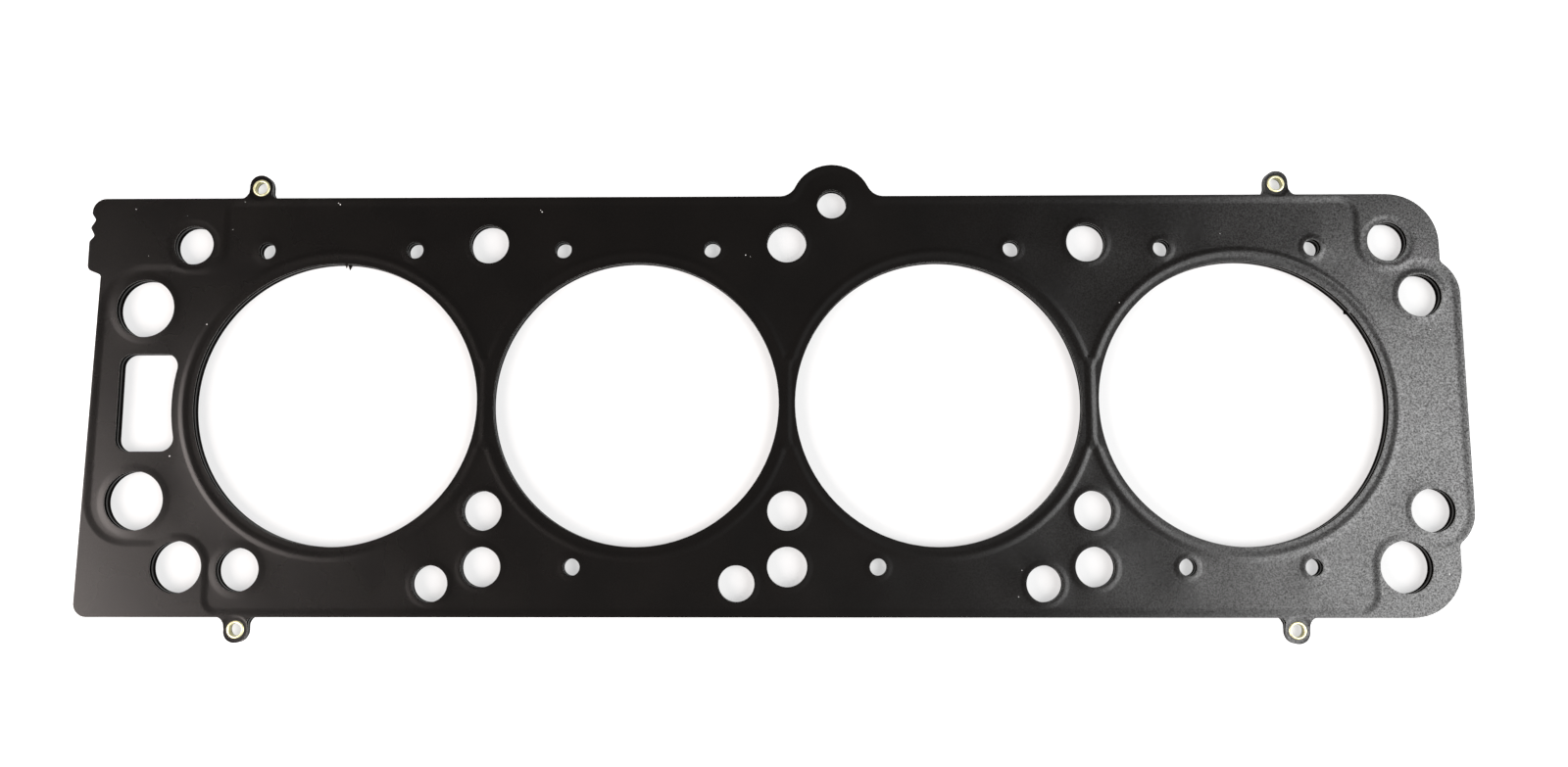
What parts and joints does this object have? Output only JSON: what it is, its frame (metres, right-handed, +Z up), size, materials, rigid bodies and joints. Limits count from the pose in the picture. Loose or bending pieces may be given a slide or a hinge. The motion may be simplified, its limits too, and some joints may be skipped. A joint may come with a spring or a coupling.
{
  "type": "cylinder head gasket",
  "caption": "Flat multi-layer steel cylinder head gasket for an inline four-cylinder engine, with embossed sealing beads, coolant and oil passages and riveted lugs.",
  "frame": {"origin": "middle of the row of four bores, on the face that lies on the engine block", "axes": "+X along the row of bores towards the end with the two small round ports; +Y across the row towards the edge with the single round ear; +Z up from the block face towards the cylinder head"},
  "size_m": [0.4266, 0.1479, 0.0039],
  "materials": {
    "coated_steel": "satin",
    "bare_steel": "brushed",
    "eyelet_brass": "polished"
  },
  "bodies": {
    "root": {"top_layer": "coated_steel", "spacer_layer": "bare_steel", "bottom_layer": "coated_steel", "eyelet_front_left": "eyelet_brass", "eyelet_front_right": "eyelet_brass", "eyelet_rear_left": "eyelet_brass", "eyelet_rear_right": "eyelet_brass"}
  },
  "joints": []
}
